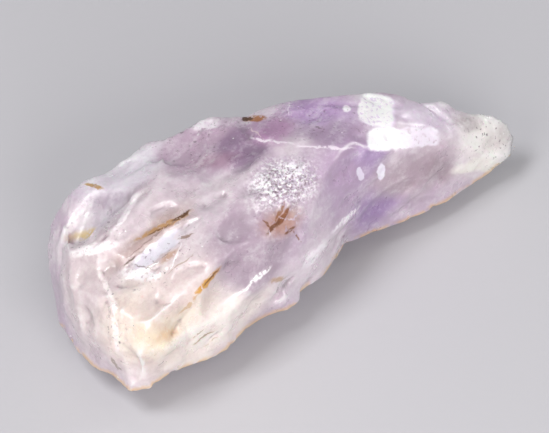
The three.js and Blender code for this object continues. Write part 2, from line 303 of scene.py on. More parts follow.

# Frost, and highlights painted white where fresh flats and chipped edges throw back the light, each laid over
# the ones before it.
FROST_AND_PAINTED_HIGHLIGHTS = (
    # The two flat breaks at the crest's end, painted white as reflections of the lamp.
    WhiteBreak(377, 111, 1.85, 1.85, -8, "#E9DCF0", 0.9, Border.CRISP, flecked=False, squared=True),
    WhiteBreak(376, 110, 1.75, 1.75, -8, "#FFFCFF", 1.0, Border.CRISP, squared=True),
    WhiteBreak(384, 139, 1.75, 1.2, 4, "#F4F2F7", 1.0, Border.CRISP, flecked=False, squared=True),
    WhiteBreak(403, 141, 1.1, 0.85, 10, "#F1EDF5", 0.95, Border.CRISP, flecked=False),
    WhiteBreak(417, 137, 2.5, 1.0, 2, "#EFE8F4", 0.85, Border.CRISP, squared=True),
    # The white ledge in the root, with its bright borders painted as highlights.
    WhiteBreak(158, 249, 3.0, 0.75, 38, "#E2DEE8", 0.95, Border.CRISP, flecked=False, squared=True),
    WhiteBreak(187, 229, 1.6, 0.5, 44, "#E2D8DE", 0.85, Border.CRISP, squared=True),
    WhiteBreak(150, 268, 1.1, 0.09, 40, "#FBF8FA", 1.0, Border.CRISP, flecked=False),
    WhiteBreak(176, 256, 1.5, 0.08, 68, "#F6F2F6", 0.9, Border.CRISP, flecked=False),
    WhiteBreak(141, 275, 2.1, 0.6, -8, "#ECE8EB", 0.95),
    WhiteBreak(92, 249, 2.8, 0.55, 14, "#F0EAEC", 0.95),
    WhiteBreak(126, 213, 2.5, 0.3, 57, "#F1EAEE", 0.9),
    # Two thin edges at the crest, painted as highlights, and the crumbled patch, grey with white spots
    # painted as glints.
    WhiteBreak(289, 107, 0.95, 0.07, 86, "#EADFEC", 0.8),
    WhiteBreak(256, 132, 1.1, 0.07, -42, "#E2D2D2", 0.7),
    WhiteBreak(285, 182, 3.0, 2.2, 28, "#CBBFD1", 0.7, Border.CLOUDY),
    WhiteBreak(262, 182, 1.1, 1.0, 30, "#F3EFF6", 0.9),
    WhiteBreak(292, 170, 1.3, 0.9, 20, "#EFEAF3", 0.8),
    # Chipped edges of the shoulder, the neck and the crest, painted white as highlights where they catch the
    # light.
    WhiteBreak(259, 276, 1.5, 0.3, 44, "#F8F4F7", 1.0),
    WhiteBreak(238, 294, 1.9, 0.2, 32, "#F4EEF1", 0.9),
    WhiteBreak(314, 255, 1.9, 0.45, 48, "#F2ECF3", 0.9),
    WhiteBreak(344, 221, 2.9, 0.2, 42, "#F2ECF4", 0.9),
    WhiteBreak(205, 125, 1.5, 0.5, 6, "#EEE6EE", 0.8),
    WhiteBreak(271, 141, 2.6, 0.12, -8, "#EBE2EB", 0.8),
    WhiteBreak(325, 147, 3.4, 0.13, -3, "#EBE2EB", 0.8),
    # Three small flats in the purple of the neck, painted white as glints.
    WhiteBreak(381, 171, 0.45, 0.85, 0, "#EDE8F5", 0.95, Border.CRISP, 2.0, flecked=False),
    WhiteBreak(360, 174, 0.28, 0.6, 12, "#E8E1F1", 0.9, Border.CRISP, 2.0, flecked=False, squared=True),
    WhiteBreak(347, 108, 0.4, 0.35, 0, "#F6F2F8", 0.95, deep_mm=2.0, flecked=False),
    # The chip line down the root, painted as a chain of glints, and a chip in the hollow's rim.
    WhiteBreak(106, 286, 2.4, 0.3, -62, "#F2EAEA", 0.75),
    WhiteBreak(115, 330, 2.8, 0.3, -86, "#F2EAEA", 0.75),
    WhiteBreak(72, 225, 1.0, 0.5, 60, "#F4EEF0", 0.8),
)

# Iron oxide in cracks and pits, from rust to pale yellow, and two dark reflections painted on the white
# ledge.
DULL_MARKS = (
    # The rust at the crest.
    DullMark(254, 119, 1.2, 0.34, 2, "#A06A3E", 0.95),
    DullMark(247, 119, 0.6, 0.24, 2, "#53341F", 0.95),
    # The ochre crack at the end of the root, and the yellow film in the hollow.
    DullMark(94, 186, 1.2, 0.17, -14, "#B08A4E", 0.9),
    DullMark(89, 235, 2.0, 0.5, 8, "#D6BE84", 0.85, Border.CLOUDY),
    # The brown crack above the white ledge, darkest at its upper end.
    DullMark(163, 226, 3.3, 0.28, 27, "#B58C57", 0.85),
    DullMark(181, 216, 1.1, 0.2, 29, "#5A371B", 0.95),
    DullMark(158, 230, 1.3, 0.11, 30, "#75502C", 0.9),
    # The ochre crack below the broad facet, with its faint tail.
    DullMark(207, 282, 2.0, 0.3, 50, "#C9963F", 0.95),
    DullMark(211, 277, 1.1, 0.13, 50, "#7C4F20", 0.9),
    DullMark(190, 304, 1.3, 0.16, 45, "#C9A67C", 0.7),
    # The rust under the sparkling patch: short streaks in a pinkish haze.
    DullMark(283, 222, 2.3, 1.3, 20, "#AE826C", 0.75, Border.CLOUDY),
    DullMark(279, 213, 1.1, 0.16, 62, "#8A5A34", 0.85),
    DullMark(283, 217, 1.2, 0.3, 58, "#7E4A24", 0.95),
    DullMark(274, 227, 1.0, 0.22, 50, "#6D3F20", 0.95),
    DullMark(267, 224, 0.7, 0.12, -45, "#7A4E30", 0.85),
    DullMark(290, 230, 0.7, 0.17, 35, "#75482B", 0.9),
    DullMark(297, 236, 0.7, 0.13, -55, "#80563C", 0.85),
    # Faint brown lines beside the white ledge, in the lower front and at the foot of the root, and two
    # painted dark reflections at the ledge.
    DullMark(278, 280, 0.9, 0.25, 15, "#B48A58", 0.75, Border.CLOUDY),
    DullMark(169, 256, 1.1, 0.28, 38, "#B0886A", 0.75, Border.CLOUDY),
    DullMark(186, 237, 0.8, 0.12, 20, "#86695A", 0.8),
    DullMark(204, 337, 1.4, 0.13, 36, "#A08A70", 0.8),
    DullMark(197, 335, 1.1, 0.07, 40, "#B09C86", 0.75),
    DullMark(210, 341, 0.9, 0.07, 38, "#A8947C", 0.75),
    DullMark(115, 364, 0.95, 0.13, -52, "#9A8C84", 0.85),
    # The next two dark lines are painted dark reflections where the white ledge glints.
    DullMark(129, 262, 0.8, 0.11, 42, "#6E5E54", 0.85),
    DullMark(144, 267, 1.1, 0.08, -12, "#857A7A", 0.8),
    DullMark(152, 238, 3.4, 0.08, 38, "#8E7A76", 0.8),
    DullMark(181, 264, 1.6, 0.07, 38, "#AE9689", 0.75),
    DullMark(169, 334, 1.3, 0.5, 20, "#E2BC92", 0.6, Border.CLOUDY),
)

# Facets that broke clean, where the fine relief dies away.
CLEAN_BREAKS = (
    Area(377, 112, 2.0, 2.1, -5, border=Border.WORN, deep_mm=3.0),
    Area(395, 139, 3.2, 1.5, 0, border=Border.WORN, deep_mm=3.0),
    Area(250, 250, 4.4, 5.0, 50, strength=0.9, deep_mm=4.0),
    Area(120, 172, 4.0, 2.0, 28, strength=0.7, deep_mm=4.0),
)

# Places where the quartz is crumbled into small broken faces.
SPARKLING_PATCH = Area(285, 184, 3.4, 2.6, 28, deep_mm=3.0)
CRUMBLED = (
    SPARKLING_PATCH,
    Area(283, 221, 2.2, 1.4, 20, strength=0.8, deep_mm=3.0),
    Area(205, 127, 1.8, 1.0, 4, strength=0.7, deep_mm=3.0),
    Area(115, 305, 5.5, 0.8, -74, strength=0.7, deep_mm=3.0),
)

# Other places where many small glints are painted white: the crest's top, the purple back, the worn tip, the
# hollow, the white ledge and the chip line down the root.
GLINTING = (
    Area(205, 142, 5.5, 3.0, 12, deep_mm=3.0),
    Area(305, 122, 6.8, 2.6, 0, deep_mm=3.0),
    Area(488, 140, 3.4, 3.0, -20, deep_mm=3.0),
    Area(96, 232, 4.0, 2.2, 20, deep_mm=3.0),
    Area(165, 258, 5.0, 2.4, 38, deep_mm=3.0),
    Area(112, 320, 5.6, 1.0, -78, deep_mm=3.0),
)

# Where an even grid of faces would round off the thin tip, so the stone is drawn out again.
DRAWN_OUT = Area(508, 143, 3.0, 3.6, 0)

# A pit of the frame's that the picture doesn't show.
FILLED_PIT = Area(177, 330, 1.3, 1.0, 65, deep_mm=3.0)


# The stone's skin.


@dataclass
class Skin:
    """The stone's surface as arrays in millimetres."""

    where: np.ndarray
    facing: np.ndarray

    def noise_at(self, step_mm: float, shift: float, octaves: int = 1) -> np.ndarray:
        """Smooth seeded noise over the surface.

        Args:
            step_mm: The distance between its swells.
            shift: Moves it through space, so that two uses differ.
            octaves: How many finer layers are added.

        Returns:
            One number a point, about -1 to 1.
        """
        spots = self.where / step_mm + shift
        if octaves == 1:
            return np.array([noise.noise(Vector(p)) for p in spots])
        return np.array([noise.fractal(Vector(p), 1.0, 2.1, octaves) for p in spots])

    def stretched(self, grain: np.ndarray, stretch: float) -> np.ndarray:
        """The points drawn together along the grain, so that a pattern on them runs along it.

        Args:
            grain: The grain's direction at each point.
            stretch: How much longer the pattern is along the grain.

        Returns:
            The points in millimetres.
        """
        along = np.sum(self.where * grain, axis=1, keepdims=True)
        return self.where - grain * along * (1 - 1 / stretch)


@dataclass(frozen=True)
class PlacedArea:
    """An area with its middle and axes found on the stone."""

    area: Area
    middle_mm: Vector
    axes: Matrix

    @property
    def reach_mm(self) -> tuple[float, float, float]:
        """Half its length, width and depth."""
        return self.area.long_mm, self.area.wide_mm, self.area.deep_mm

    def cover(self, skin: Skin) -> np.ndarray:
        """How much of each point it covers.

        Args:
            skin: The surface points.

        Returns:
            One number a point, 0 outside to the area's strength inside.
        """
        local = (skin.where - np.array(self.middle_mm)) @ np.array(self.axes) / np.array(self.reach_mm)
        away = np.linalg.norm(local, axis=1)
        fade = self.area.border.value
        return self.area.strength * eased(np.clip((1 + fade - away) / (2 * fade), 0, 1))


@dataclass
class Surveyor:
    """Finds places of the picture on the stone."""

    view: Viewpoint
    surface: BVHTree

    def place(self, area: Area) -> PlacedArea:
        """Lays an area on the stone.

        Args:
            area: The area as the picture shows it.

        Returns:
            The area with its middle on the surface, its axes as a matrix's columns.
        """
        start = self.view.eye_mm * MM
        hit = self.surface.ray_cast(start, self.view.towards(area.across, area.down))[0]
        if hit is None:
            raise ValueError(f"no stone at {area.across}, {area.down}")
        right, top, back = self.view.axes
        turn = math.radians(area.turn_degrees)
        along = right * math.cos(turn) + top * math.sin(turn)
        aside = back.cross(along)
        return PlacedArea(area, hit / MM, Matrix((along, aside, back)).transposed())


@dataclass(frozen=True)
class Scallops:
    """Shallow shell-shaped scoops that meet in low ridges, as brittle quartz chips.

    Attributes:
        spacing_mm: The usual distance between two scoops.
        depth_mm: How deep they are.
        stretch: How much longer they are along the grain.
        shift: Seeds their places.
        lip: How far up its bowl a scoop stops, as a squared share of the spacing.
        level: The share of the depth that lies below the old surface.
    """

    spacing_mm: float
    depth_mm: float
    stretch: float
    shift: float
    lip: float = 0.6
    level: float = 0.35

    def height(self, skin: Skin, grain: np.ndarray) -> np.ndarray:
        """The relief's height at each point.

        Args:
            skin: The surface points.
            grain: The grain's direction at each point.

        Returns:
            One height a point, in millimetres.
        """
        spots = skin.stretched(grain, self.stretch) / self.spacing_mm + self.shift
        nearest = np.array([noise.voronoi(Vector(p))[0][0] for p in spots])
        bowl = np.minimum(nearest**2, self.lip)
        return self.depth_mm * (bowl / self.lip - self.level) * 2


@dataclass(frozen=True)
class Flats:
    """Small flat breaks, each tilted its own way, with low steps where they meet.

    Attributes:
        spacing_mm: The usual distance between two of them.
        tilt_degrees: How far they tilt at most.
        stretch: How much longer they are along the grain.
        step_mm: The width of the slope from one to the next.
        shift: Seeds their places and tilts.
    """

    spacing_mm: float
    tilt_degrees: float
    stretch: float
    step_mm: float
    shift: float

    def tilt_of(self, middles: np.ndarray) -> np.ndarray:
        """A random slope for each flat, the same wherever its middle is asked for.

        Args:
            middles: The flats' middles.

        Returns:
            One slope vector a row, each number from -1 to 1.
        """
        # Any large uneven factors do: they only part the slopes of neighbours.
        mixed = middles @ np.array(((12.99, 39.35, 73.16), (78.23, 11.14, 52.24), (37.72, 83.16, 9.15)))
        return np.modf(np.sin(mixed) * 4375.85)[0]

    def height(self, skin: Skin, grain: np.ndarray) -> np.ndarray:
        """The relief's height at each point.

        Args:
            skin: The surface points.
            grain: The grain's direction at each point.

        Returns:
            One height a point, in millimetres.
        """
        spots = skin.stretched(grain, self.stretch) / self.spacing_mm + self.shift
        found = [noise.voronoi(Vector(p)) for p in spots]
        gaps = np.array([gap[:2] for gap, _ in found])
        levels = []
        for rank in range(2):
            middles = np.array([tuple(near[rank]) for _, near in found])
            levels.append(np.sum(self.tilt_of(middles) * (spots - middles), axis=1))
        own = np.clip((gaps[:, 1] - gaps[:, 0]) * self.spacing_mm / self.step_mm, 0, 1)
        share = 0.5 + 0.5 * eased(own)
        slope = math.tan(math.radians(self.tilt_degrees)) * self.spacing_mm
        return slope * (levels[0] * share + levels[1] * (1 - share))


@dataclass(frozen=True)
class Steps:
    """Small ledges along the grain, where the break jumped from one growth layer to the next.

    Attributes:
        tread_mm: The usual width of a step.
        rise_mm: Its height.
        shift: Seeds their places.
        stretch: How much longer it is along the grain.
        swell_treads: How many treads wide a swell of the noise under the steps is.
        swell_steps: How many steps such a swell climbs.
        flat_share: The share of a tread that is flat.
    """

    tread_mm: float
    rise_mm: float
    shift: float
    stretch: float = 4.0
    swell_treads: float = 2.2
    swell_steps: float = 2.6
    flat_share: float = 0.78

    def height(self, skin: Skin, grain: np.ndarray) -> np.ndarray:
        """The relief's height at each point.

        Args:
            skin: The surface points.
            grain: The grain's direction at each point.

        Returns:
            One height a point, in millimetres.
        """
        drawn = Skin(skin.stretched(grain, self.stretch), skin.facing)
        level = drawn.noise_at(self.tread_mm * self.swell_treads, self.shift, 3) * self.swell_steps
        tread = np.floor(level)
        rise = np.clip((level - tread - self.flat_share) / (1 - self.flat_share), 0, 1)
        return self.rise_mm * (tread + eased(rise) - level)


@dataclass
class AmethystStone:
    """The stone's mesh, with the relief that is too fine for the frame."""

    view: Viewpoint

    # The even grid, how it is smoothed, and the height of an edge that smoothing leaves alone.
    grid_mm: float = 0.21
    smoothing_rounds: int = 4
    smoothing_share: float = 0.6
    edge_keep_mm: float = 0.035

    # How far the pit is filled and the tip is drawn out, and how wide a ridge or crease is looked for.
    filling_rounds: int = 14
    drawn_out_mm: float = 0.55
    edge_rounds: int = 5

    # The painted warm glow on the thin lower edge as the camera sees it: the steps past it where a ray must
    # miss the stone, and how low it faces.
    glow_rim_steps_mm: tuple[float, ...] = (0.12, 0.24, 0.36)
    glow_rim_from: float = 0.35
    glow_rim_strength: float = 0.75

    # The grain's turn and lift in degrees, and where along the stone the neck's takes over.
    body_grain: tuple[float, float] = (42.0, -16.0)
    neck_grain: tuple[float, float] = (8.0, 8.0)
    neck_from_mm: float = -4.0
    neck_within_mm: float = 12.0

    # The fine relief, what is left of it on clean breaks, and how it fades in above the floor.
    scoops: Scallops = Scallops(spacing_mm=6.0, depth_mm=0.045, stretch=1.7, shift=11.0)
    broad_flats: Flats = Flats(spacing_mm=3.8, tilt_degrees=2.0, stretch=1.9, step_mm=0.3, shift=4.0)
    small_flats: Flats = Flats(spacing_mm=1.6, tilt_degrees=1.9, stretch=2.2, step_mm=0.2, shift=9.0)
    ledges: Steps = Steps(tread_mm=1.6, rise_mm=0.05, shift=8.0)
    crumbs: Flats = Flats(spacing_mm=0.8, tilt_degrees=17.0, stretch=1.0, step_mm=0.25, shift=2.0)
    clean_relief: float = 0.12
    grit_mm: float = 0.006
    rest_clear_mm: float = 0.05
    rest_fade_mm: float = 1.2

    def remeshed(self) -> bpy.types.Mesh:
        """Copies the frame's stone with an even grid of faces.

        Returns:
            The new mesh.
        """
        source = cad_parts[STONE_NODE]
        carrier = bpy.data.objects.new("stone_source", source.data.copy())
        carrier.matrix_world = source.matrix_world.copy()
        bpy.context.scene.collection.objects.link(carrier)
        regrid = carrier.modifiers.new("even_grid", "REMESH")
        regrid.mode = "VOXEL"
        regrid.voxel_size = self.grid_mm * MM
        graph = bpy.context.evaluated_depsgraph_get()
        mesh = bpy.data.meshes.new_from_object(carrier.evaluated_get(graph))
        mesh.transform(source.matrix_world)
        bpy.data.objects.remove(carrier, do_unlink=True)
        return mesh

    def relaxed(self, mesh: bpy.types.Mesh) -> np.ndarray:
        """Evens out the grid's own steps and the frame's small flats, and keeps true edges.

        Args:
            mesh: The evenly gridded mesh.

        Returns:
            The points in millimetres.
        """
        points = mesh_points(mesh) / MM
        edges = mesh_edges(mesh)
        for _ in range(self.smoothing_rounds):
            facing = mesh_normals(mesh, points)
            step = points[edges[:, 1]] - points[edges[:, 0]]
            out_first = np.sum(step * facing[edges[:, 0]], axis=1)
            out_second = -np.sum(step * facing[edges[:, 1]], axis=1)
            pull = np.zeros_like(points)
            total = np.full(len(points), 1e-6)
            for home, offset, reach in ((0, out_first, step), (1, out_second, -step)):
                weight = np.exp(-((offset / self.edge_keep_mm) ** 2))
                for axis in range(3):
                    pull[:, axis] += np.bincount(edges[:, home], reach[:, axis] * weight, len(points))
                total += np.bincount(edges[:, home], weight, len(points))
            points = points + self.smoothing_share * pull / total[:, None]
        return points

    def grain_at(self, points: np.ndarray) -> np.ndarray:
        """The grain's direction at each point, along the root's streaks and then along the neck.

        Args:
            points: The points in millimetres.

        Returns:
            One unit vector a point.
        """
        share = np.clip((points[:, 0] - self.neck_from_mm) / self.neck_within_mm, 0, 1)[:, None]
        ends = []
        for turn_degrees, lift_degrees in (self.body_grain, self.neck_grain):
            turn, lift = math.radians(turn_degrees), math.radians(lift_degrees)
            flat = math.cos(lift)
            ends.append(np.array((math.cos(turn) * flat, math.sin(turn) * flat, math.sin(lift))))
        grain = ends[0] * (1 - share) + ends[1] * share
        return grain / np.linalg.norm(grain, axis=1, keepdims=True)

    def relief(self, skin: Skin, surveyor: Surveyor) -> np.ndarray:
        """The fine relief's height at each point.

        Args:
            skin: The surface points.
            surveyor: Finds the clean and the crumbled areas.

        Returns:
            One height a point, in millimetres.
        """
        grain = self.grain_at(skin.where)
        clean = np.ones(len(skin.where))
        for area in CLEAN_BREAKS:
            clean *= 1 - surveyor.place(area).cover(skin)
        crumbled = np.zeros(len(skin.where))
        for area in CRUMBLED:
            crumbled = np.maximum(crumbled, surveyor.place(area).cover(skin))
        # Small flats and ledges take turns over the stone, in patches of a few millimetres.
        patchy = 0.55 + 0.45 * np.clip(skin.noise_at(step_mm=7.0, shift=3.1) * 2.0, -1, 1)
        height = self.scoops.height(skin, grain)
        height += self.broad_flats.height(skin, grain)
        height += self.small_flats.height(skin, grain) * patchy
        height += self.ledges.height(skin, grain) * (1.1 - patchy)
        height *= self.clean_relief + (1 - self.clean_relief) * clean
        height += crumbled * self.crumbs.height(skin, grain)
        height += self.grit_mm * skin.noise_at(step_mm=0.9, shift=1.0, octaves=3)
        return height * np.clip((skin.where[:, 2] - self.rest_clear_mm) / self.rest_fade_mm, 0, 1)

    def edge_values(self, mesh: bpy.types.Mesh, points: np.ndarray) -> np.ndarray:
        """How far each point stands out from its surroundings, over about half a millimetre.

        Args:
            mesh: The mesh that joins the points.
            points: The points in millimetres.

        Returns:
            One number a point: above 0 on ridges, below 0 in creases.
        """
        around = averaged(mesh, points, self.edge_rounds)
        return np.sum((points - around) * mesh_normals(mesh, points), axis=1)

    def rim_glow_values(self, points: np.ndarray, facing: np.ndarray, surface: BVHTree) -> np.ndarray:
        """Where the stone's lower edge thins to nothing as the camera sees it, and gets a painted warm glow
        for the light that comes through it.

        Args:
            points: The points in millimetres.
            facing: The directions that they face.
            surface: The stone's surface, which rays can meet.

        Returns:
            One number a point, 0 to 1.
        """
        _, top, back = (np.array(axis) for axis in self.view.axes)
        outwards = facing - back * (facing @ back)[:, None]
        outwards /= np.maximum(np.linalg.norm(outwards, axis=1, keepdims=True), 1e-9)
        eye = self.view.eye_mm
        values = np.zeros(len(points))
        for number in np.flatnonzero(outwards @ top < -self.glow_rim_from):
            for step_mm in self.glow_rim_steps_mm:
                past = Vector(points[number] + outwards[number] * step_mm) - eye
                if surface.ray_cast(eye * MM, past)[0] is None:
                    values[number] += self.glow_rim_strength / len(self.glow_rim_steps_mm)
        return values

    def build(self) -> tuple[bpy.types.Object, Surveyor]:
        """Makes the stone and stands it in for the frame's own.

        Returns:
            The stone and the surveyor that finds places on it.
        """
        mesh = self.remeshed()
        points = self.relaxed(mesh)
        mesh.vertices.foreach_set("co", (points * MM).ravel())
        mesh.update()
        surveyor = Surveyor(self.view, ray_surface(mesh))
        skin = Skin(points, mesh_normals(mesh, points))
        filled = surveyor.place(FILLED_PIT).cover(skin)[:, None]
        points = points + filled * (averaged(mesh, points, self.filling_rounds) - points)
        points = points + skin.facing * self.relief(skin, surveyor)[:, None]
        points[:, 0] += self.drawn_out_mm * surveyor.place(DRAWN_OUT).cover(skin)
        points[:, 2] = np.maximum(points[:, 2], 0)
        mesh.vertices.foreach_set("co", (points * MM).ravel())
        mesh.polygons.foreach_set("use_smooth", np.ones(len(mesh.polygons), dtype=bool))
        mesh.update()
        # Edge values drive painted ridge highlights and crease shade; rim values drive a painted warm glow.
        for name, values in (
            ("edge", self.edge_values(mesh, points)),
            ("rim", self.rim_glow_values(points, mesh_normals(mesh, points), ray_surface(mesh))),
        ):
            mesh.attributes.new(name, "FLOAT", "POINT").data.foreach_set("value", values)
        mesh.materials.clear()
        mesh.name = "amethyst_stone"
        stone = bpy.data.objects.new("amethyst_stone", mesh)
        bpy.context.scene.collection.objects.link(stone)
        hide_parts(STONE_NODE)
        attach(stone, "root")
        return stone, surveyor


def ray_surface(mesh: bpy.types.Mesh) -> BVHTree:
    """A mesh as a surface that rays can meet.

    Args:
        mesh: The mesh.

    Returns:
        Its search tree, in metres.
    """
    return BVHTree.FromPolygons([v.co for v in mesh.vertices], [tuple(p.vertices) for p in mesh.polygons])


def mesh_points(mesh: bpy.types.Mesh) -> np.ndarray:
    """A mesh's points, one row each.

    Args:
        mesh: The mesh.

    Returns:
        Their places in metres.
    """
    flat = np.empty(len(mesh.vertices) * 3)
    mesh.vertices.foreach_get("co", flat)
    return flat.reshape(-1, 3)


def mesh_edges(mesh: bpy.types.Mesh) -> np.ndarray:
    """A mesh's edges.

    Args:
        mesh: The mesh.

    Returns:
        Two point numbers a row.
    """
    flat = np.empty(len(mesh.edges) * 2, dtype=np.int64)
    mesh.edges.foreach_get("vertices", flat)
    return flat.reshape(-1, 2)


def averaged(mesh: bpy.types.Mesh, points: np.ndarray, rounds: int) -> np.ndarray:
    """The points after each has moved to the middle of its neighbours a few times.

    Args:
        mesh: The mesh that joins them.
        points: Their places.
        rounds: How many times they move.

    Returns:
        The new places.
    """
    edges = mesh_edges(mesh)
    count = np.bincount(edges.ravel(), minlength=len(points))[:, None]
    smooth = points
    for _ in range(rounds):
        total = np.zeros_like(points)
        for axis in range(3):
            total[:, axis] = np.bincount(edges[:, 0], smooth[edges[:, 1], axis], len(points))
            total[:, axis] += np.bincount(edges[:, 1], smooth[edges[:, 0], axis], len(points))
        smooth = total / count
    return smooth


def mesh_normals(mesh: bpy.types.Mesh, points: np.ndarray) -> np.ndarray:
    """The directions that a mesh's points face, for new places of its points.

    Args:
        mesh: The mesh that joins them, all of four-sided faces.
        points: Their places.

    Returns:
        One unit vector a point.
    """
    corners = np.empty(len(mesh.loops), dtype=np.int64)
    mesh.loops.foreach_get("vertex_index", corners)
    quads = corners.reshape(-1, 4)
    across = points[quads[:, 2]] - points[quads[:, 0]]
    other = points[quads[:, 3]] - points[quads[:, 1]]
    flat = np.cross(across, other)
    total = np.zeros_like(points)
    for corner in range(4):
        for axis in range(3):
            total[:, axis] += np.bincount(quads[:, corner], flat[:, axis], len(points))
    return total / np.maximum(np.linalg.norm(total, axis=1, keepdims=True), 1e-12)


# Finishes.


@dataclass(frozen=True)
class Flecks:
    """How an area is broken into flecks.

    Attributes:
        per_mm: How fine they are.
        gaps: The noise level under which the area is bare.
        softness: How much noise lies between bare and covered.
    """

    per_mm: float
    gaps: float
    softness: float = 0.16


@dataclass(frozen=True)
class Specks:
    """Tiny scattered marks: white specks painted as glints of broken points, or dark specks.

    Attributes:
        step_mm: The usual distance between two places that may hold one.
        size_mm: Half a mark's width.
        share: The share of those places that hold one.
    """

    step_mm: float
    size_mm: float
    share: float


@dataclass(frozen=True)
class MilkyAmethyst:
    """Amethyst: quartz coloured by iron, grown milky and broken by hand, so cloudy inside and glossy outside.

    Light goes a few millimetres into it and comes back soft, thin edges glow by a painted warm rim, fresh
    breaks glint partly by painted highlights, and the colour lies in zones from near white to purple.
    """

    milk: str = "#DFD3DC"
    lilac: str = "#C7B4C7"
    # A warm glow painted on the thin lower edge.
    painted_rim_glow: str = "#E8BE86"
    # Ridges, partly bruised white and partly painted highlight.
    bruise_and_ridge_highlight: str = "#F8F5F8"
    # Darker growth streaks and grey flecks, and painted shade in creases.
    grey_streak_and_crease_shade: str = "#A08D98"
    # Paler growth streaks, and white specks and flecks painted as glints.
    streak_and_glint_white: str = "#FEFDFE"
    speck_dark: str = "#806C7A"

    # Gloss, clearness in the open and under frost, painted highlights, stains and painted dark reflections,
    # milk, the coat's shine and the tint inside.
    quartz_ior: float = 1.544
    gloss_roughness: float = 0.3
    gloss_spread: tuple[float, float] = (-0.06, 0.12)
    dull_roughness: float = 0.55
    clearness: float = 0.16
    covered_clearness: float = 0.03
    milkiness: float = 0.8
    milk_depth_mm: float = 2.0
    milk_depth_by_colour: tuple[float, float, float] = (1.0, 0.8, 0.95)
    coat: float = 0.3
    coat_roughness: float = 0.08
    coat_ior: float = 1.5
    absorbed: str = "#DCCBE4"
    absorption_per_metre: float = 40.0

    # How wide the waves are that bend an area's border, and how far they bend it.
    broad_bends_mm: tuple[float, float] = (4.5, 1.5)
    small_bends_mm: tuple[float, float] = (1.2, 0.4)

    # The sizes of the clouds, of changes in gloss, of the growth layers, of the mottle and of the grit.
    cloud_mm: float = 7.0
    sheen_mm: float = 3.2
    layers_turn_degrees: tuple[float, float, float] = (8, 12, 34)
    layers_mm: tuple[float, float, float] = (5.0, 1.3, 1.3)
    mottle_per_mm: float = 2.2
    grit_per_mm: float = 1.7
    grit_rise_mm: float = 0.08

    # How frost and painted highlights, stains and painted dark reflections, and the painted warm glow on the
    # rim break up, and the small marks over them, the white ones painted glints.
    white_break_flecks: Flecks = Flecks(per_mm=2.4, gaps=0.32)
    dull_mark_flecks: Flecks = Flecks(per_mm=2.4, gaps=0.3)
    glow_rim_flecks: Flecks = Flecks(per_mm=0.5, gaps=0.36)
    dark_flecks: Flecks = Flecks(per_mm=2.6, gaps=0.6)
    grey_flecks: Flecks = Flecks(per_mm=3.6, gaps=0.46)
    painted_glint_flecks: Flecks = Flecks(per_mm=3.0, gaps=0.48)
    glints: Specks = Specks(step_mm=1.7, size_mm=0.08, share=0.25)
    dark_specks: Specks = Specks(step_mm=1.7, size_mm=0.06, share=0.15)
    dense_glints: Specks = Specks(step_mm=0.8, size_mm=0.09, share=0.4)

    def dress(self, stone: bpy.types.Object, surveyor: Surveyor) -> bpy.types.Material:
        """Gives the stone its material.

        Args:
            stone: The stone.
            surveyor: Finds the coloured areas on it.

        Returns:
            The material.
        """
        material = bpy.data.materials.new("milky_amethyst")
        material.use_nodes = True
        tree = material.node_tree
        tree.nodes.clear()
        cloudy, crisp, plain = self.spots(tree)
        colour = self.ground(tree, cloudy)
        for area in ZONES:
            colour = self.laid_over(tree, colour, area.colour, self.cover(tree, surveyor.place(area), cloudy))
        colour = self.grained(tree, colour, plain)
        colour = self.worn_and_lit_edges(tree, colour, plain)
        # Frost, and highlights painted white on fresh flats and chipped edges.
        white = None
        for area in FROST_AND_PAINTED_HIGHLIGHTS:
            cover = self.cover(tree, surveyor.place(area), crisp)
            if area.flecked:
                cover = self.broken_up(tree, cover, plain, self.white_break_flecks)
            colour = self.laid_over(tree, colour, area.colour, cover)
            white = cover if white is None else self.larger(tree, white, cover)
        sparkle = self.cover(tree, surveyor.place(SPARKLING_PATCH), cloudy)
        glinting = sparkle
        for area in GLINTING:
            glinting = self.larger(tree, glinting, self.cover(tree, surveyor.place(area), cloudy))
        # White specks painted as glints, dark specks, and denser painted glints in glinting places.
        for shade, specks, within in (
            (self.streak_and_glint_white, self.glints, None),
            (self.speck_dark, self.dark_specks, None),
            (self.streak_and_glint_white, self.dense_glints, glinting),
        ):
            marks = self.scattered(tree, plain, specks, within)
            colour = self.laid_over(tree, colour, shade, marks)
        # Dark and grey flecks, and white flecks painted as glints, in glinting and sparkling places.
        for shade, flecks, within in (
            (self.speck_dark, self.dark_flecks, glinting),
            (self.grey_streak_and_crease_shade, self.grey_flecks, sparkle),
            (self.streak_and_glint_white, self.painted_glint_flecks, sparkle),
        ):
            colour = self.laid_over(tree, colour, shade, self.broken_up(tree, within, plain, flecks))
        dull_marked = None
        for area in DULL_MARKS:
            cover = self.cover(tree, surveyor.place(area), crisp)
            cover = self.broken_up(tree, cover, plain, self.dull_mark_flecks)
            colour = self.laid_over(tree, colour, area.colour, cover)
            dull_marked = cover if dull_marked is None else self.larger(tree, dull_marked, cover)
        self.surface(tree, plain, colour, white, dull_marked, sparkle)
        stone.data.materials.append(material)
        return material

